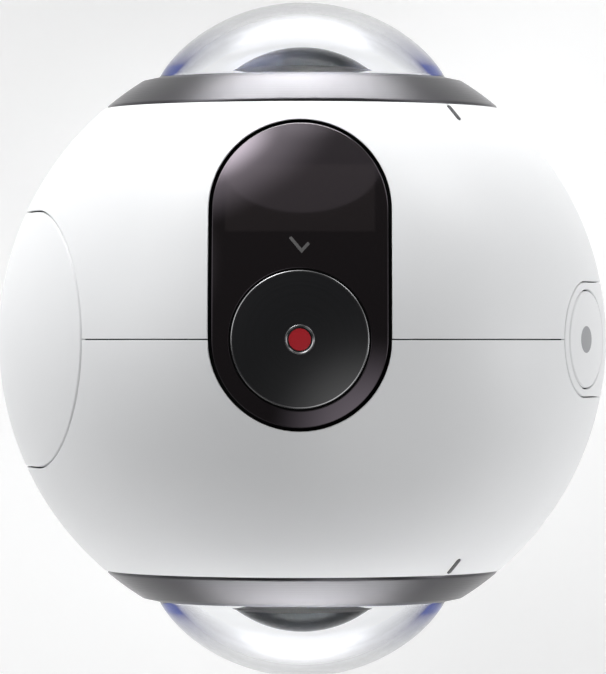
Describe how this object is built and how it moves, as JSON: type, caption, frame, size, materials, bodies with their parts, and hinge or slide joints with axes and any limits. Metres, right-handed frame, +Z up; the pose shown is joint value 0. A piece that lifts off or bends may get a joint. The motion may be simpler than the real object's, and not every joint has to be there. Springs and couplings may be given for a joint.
{
  "type": "360 degree camera",
  "caption": "Ball-shaped camera with a fisheye lens under a clear dome front and back, display window and record button on top, side keys, battery door and a threaded base.",
  "frame": {"origin": "middle of the flat base, on the surface that the camera stands on", "axes": "+Z up to the record button, -Y out of the front lens, +Y out of the rear lens, +X to the keys, -X to the battery door"},
  "size_m": [0.06, 0.0668, 0.0562],
  "materials": {
    "white": "satin white",
    "ring_metal": "satin turned metal",
    "clear_dome": "clear",
    "black_gloss": "gloss",
    "black_matte": "matte",
    "lens_glass": "coated",
    "rubber": "matte",
    "red": "satin",
    "dark_satin": "satin",
    "board": "satin",
    "steel": "satin",
    "contact": "plated",
    "grey_plastic": "matte",
    "ribbon": "satin",
    "light_guide": "satin",
    "battery_wrap": "satin"
  },
  "bodies": {
    "body": {"front_shell": "white", "rear_shell": "white", "side_key_plate": "white", "top_window": "black_gloss", "display_module": "black_gloss", "record_switch": "steel", "top_board": "board", "top_bracket": "grey_plastic", "side_board": "board", "side_switches": "steel", "door_pin": "steel", "battery_bay": "grey_plastic", "battery": "battery_wrap", "battery_contacts": "contact", "mid_frame": "grey_plastic", "frame_screws": "steel", "main_board": "board", "board_screws": "steel", "shield_cans": "steel", "usb_socket": "steel", "card_socket": "steel", "front_flex": "ribbon", "rear_flex": "ribbon", "base_plate": "grey_plastic", "tripod_socket": "steel", "front_lens_ring": "ring_metal", "front_dome": "clear_dome", "front_dome_seal": "rubber", "front_baffle": "black_matte", "front_lens_barrel": "black_matte", "front_lens_glass": "lens_glass", "front_inner_elements": "lens_glass", "front_sensor_board": "board", "front_sensor": "black_gloss", "front_status_light": "light_guide", "rear_lens_ring": "ring_metal", "rear_dome": "clear_dome", "rear_dome_seal": "rubber", "rear_baffle": "black_matte", "rear_lens_barrel": "black_matte", "rear_lens_glass": "lens_glass", "rear_inner_elements": "lens_glass", "rear_sensor_board": "board", "rear_sensor": "black_gloss", "rear_status_light": "light_guide"},
    "record_button": {"record_button_cap": "dark_satin", "record_mark": "red"},
    "menu_button": {"menu_button_cap": "white"},
    "power_button": {"power_button_cap": "white"},
    "door": {"battery_door": "white", "door_arm": "grey_plastic", "door_seal": "rubber"},
    "card": {"memory_card": "black_matte"}
  },
  "joints": [
    {"name": "record_button_press", "type": "slide", "parent": "body", "child": "record_button", "axis": [0, 0, -1], "range_m": [0, 0.0004], "stiffness_N_per_m": 500, "springref_m": -0.0004},
    {"name": "menu_button_press", "type": "slide", "parent": "body", "child": "menu_button", "axis": [-1, 0, 0], "range_m": [0, 0.00035], "stiffness_N_per_m": 500, "springref_m": -0.0004},
    {"name": "power_button_press", "type": "slide", "parent": "body", "child": "power_button", "axis": [-1, 0, 0], "range_m": [0, 0.00035], "stiffness_N_per_m": 500, "springref_m": -0.0004},
    {"name": "door_hinge", "type": "hinge", "parent": "body", "child": "door", "pos_m": [-0.01595, 0, 0.00504], "axis": [0, -1, 0], "range_deg": [0, 85]},
    {"name": "card_slide", "type": "slide", "parent": "body", "child": "card", "axis": [-1, 0, 0], "range_m": [-0.0006, 0.003]}
  ]
}
